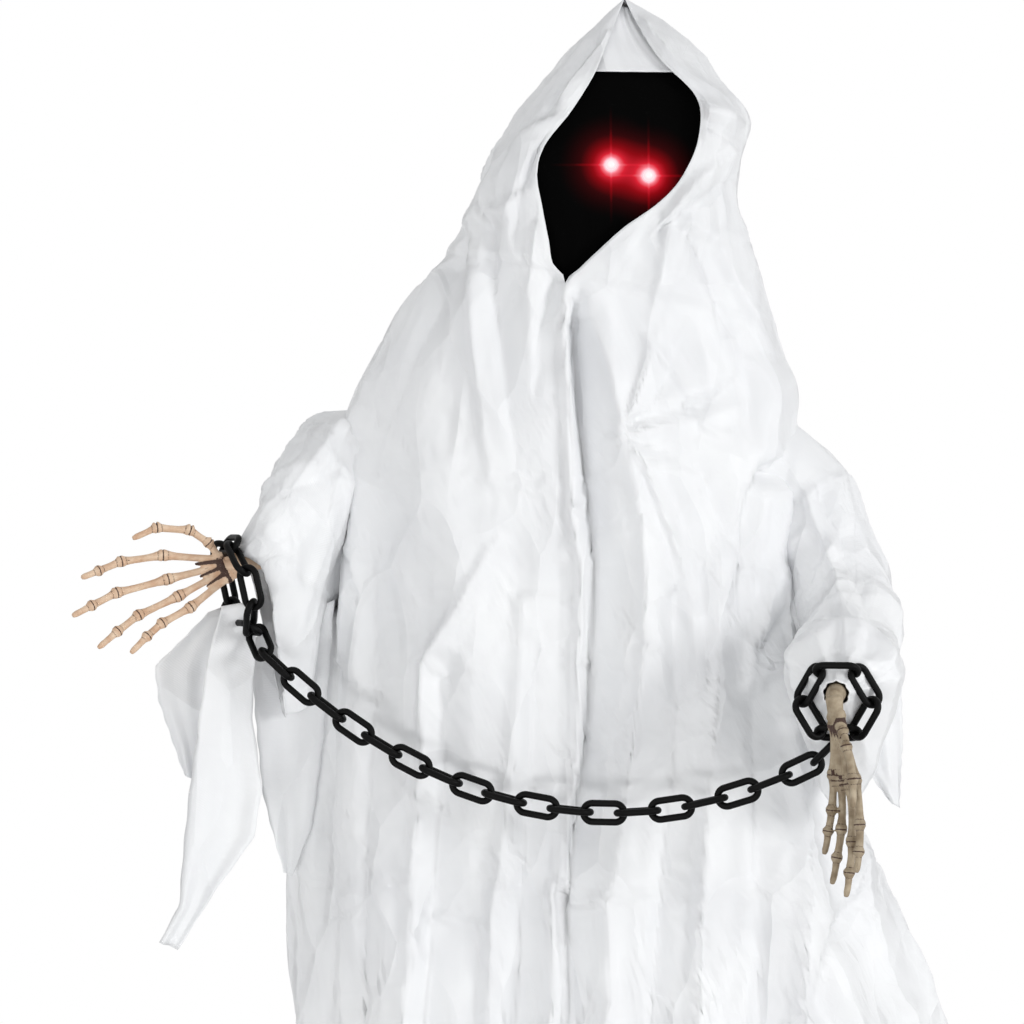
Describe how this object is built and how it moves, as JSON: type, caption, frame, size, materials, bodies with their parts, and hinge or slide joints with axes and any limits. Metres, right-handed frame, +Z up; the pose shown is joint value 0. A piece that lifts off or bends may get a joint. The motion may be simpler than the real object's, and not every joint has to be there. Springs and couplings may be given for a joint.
{
  "type": "animated ghost figure",
  "caption": "Free-standing hooded ghost decoration with a torn satin robe, lit eyes, skeleton hands and a chain between its wrists.",
  "frame": {"origin": "centre of the flat underside of the base's hub, on the floor and on the pole's axis", "axes": "+Z up along the pole, -Y the way the figure faces, +X to the right of someone who looks at its face"},
  "size_m": [0.9314, 0.6093, 1.5971],
  "materials": {
    "white_satin_cloth": "thin white polyester satin with a soft sheen",
    "black_veil_cloth": "matt black gauze",
    "bone_plastic": "tan bone colour with brown stain in the grooves",
    "black_chain_plastic": "semi-gloss black, moulded",
    "black_moulded_plastic": "fine matt grain",
    "black_rubber": "matt",
    "painted_steel_tube": "black powder coat",
    "white_nylon": "natural nylon",
    "motor_steel": "bright steel",
    "red_lens": "clear red, lit from behind"
  },
  "bodies": {
    "stand": {"base_hub": "black_moulded_plastic", "base_tube_front": "painted_steel_tube", "base_tube_rear": "painted_steel_tube", "foot_front_left": "black_rubber", "foot_front_right": "black_rubber", "foot_rear_left": "black_rubber", "foot_rear_right": "black_rubber", "pole_lower": "painted_steel_tube", "pole_upper": "painted_steel_tube", "waist_gear": "white_nylon"},
    "pole_button": {"pole_button": "motor_steel"},
    "torso": {"waist_motor": "motor_steel", "waist_bush": "white_nylon", "pole_cup": "black_moulded_plastic", "case_front": "black_moulded_plastic", "case_back": "black_moulded_plastic", "shoulder_bar": "painted_steel_tube", "speaker": "black_moulded_plastic", "neck_bracket": "black_moulded_plastic", "neck_motor": "motor_steel", "robe": "white_satin_cloth", "sleeve_left": "white_satin_cloth", "sleeve_right": "white_satin_cloth", "arm_left": "painted_steel_tube", "arm_right": "painted_steel_tube", "hand_left": "bone_plastic", "hand_right": "bone_plastic", "wrist_wrap_left": "black_chain_plastic", "wrist_wrap_right": "black_chain_plastic"},
    "waist_pinion": {"waist_pinion": "white_nylon"},
    "head": {"neck_shaft": "white_nylon", "neck_gear": "white_nylon", "head_shell": "black_moulded_plastic", "eye_left": "red_lens", "eye_right": "red_lens", "face_veil": "black_veil_cloth", "hood": "white_satin_cloth"},
    "neck_pinion": {"neck_pinion": "white_nylon"},
    "chain": {"chain_link_01": "black_chain_plastic", "chain_link_02": "black_chain_plastic", "chain_link_03": "black_chain_plastic", "chain_link_04": "black_chain_plastic", "chain_link_05": "black_chain_plastic", "chain_link_06": "black_chain_plastic", "chain_link_07": "black_chain_plastic", "chain_link_08": "black_chain_plastic", "chain_link_09": "black_chain_plastic", "chain_link_10": "black_chain_plastic", "chain_link_11": "black_chain_plastic", "chain_link_12": "black_chain_plastic", "chain_link_13": "black_chain_plastic", "chain_link_14": "black_chain_plastic", "chain_link_15": "black_chain_plastic", "chain_link_16": "black_chain_plastic", "chain_link_17": "black_chain_plastic", "chain_link_18": "black_chain_plastic"},
    "switch": {"switch_knob": "black_moulded_plastic"},
    "battery_door": {"battery_door": "black_moulded_plastic"}
  },
  "joints": [
    {"name": "body_turn", "type": "hinge", "parent": "stand", "child": "torso", "pos_m": [0, 0, 1.04], "axis": [0, 0, 1], "range_deg": [-25, 25]},
    {"name": "waist_pinion_turn", "type": "hinge", "parent": "torso", "child": "waist_pinion", "pos_m": [0.02546, 0.02546, 1.04], "axis": [0, 0, 1], "range_deg": [-75, 75]},
    {"name": "head_turn", "type": "hinge", "parent": "torso", "child": "head", "pos_m": [-0.01, 0, 1.266], "axis": [0.2079, 0, 0.9781], "range_deg": [-25, 25]},
    {"name": "neck_pinion_turn", "type": "hinge", "parent": "torso", "child": "neck_pinion", "pos_m": [-0.01, 0.03, 1.266], "axis": [0.2079, 0, 0.9781], "range_deg": [-75, 75]},
    {"name": "chain_swing", "type": "hinge", "parent": "torso", "child": "chain", "pos_m": [-0.30792, -0.14408, 0.92623], "axis": [0.9628, -0.2054, -0.1756], "range_deg": [-12, 10]},
    {"name": "switch_slide", "type": "slide", "parent": "torso", "child": "switch", "axis": [0, 0, 1], "range_m": [0, 0.006]},
    {"name": "battery_door_slide", "type": "slide", "parent": "torso", "child": "battery_door", "axis": [0, 0, -1], "range_m": [0, 0.02]},
    {"name": "pole_button_press", "type": "slide", "parent": "stand", "child": "pole_button", "axis": [0, -1, 0], "range_m": [0, 0.0022], "stiffness_N_per_m": 400}
  ],
  "couplings": [
    {"joint": "waist_pinion_turn", "follows": "body_turn", "ratio": 3},
    {"joint": "neck_pinion_turn", "follows": "head_turn", "ratio": -3}
  ]
}
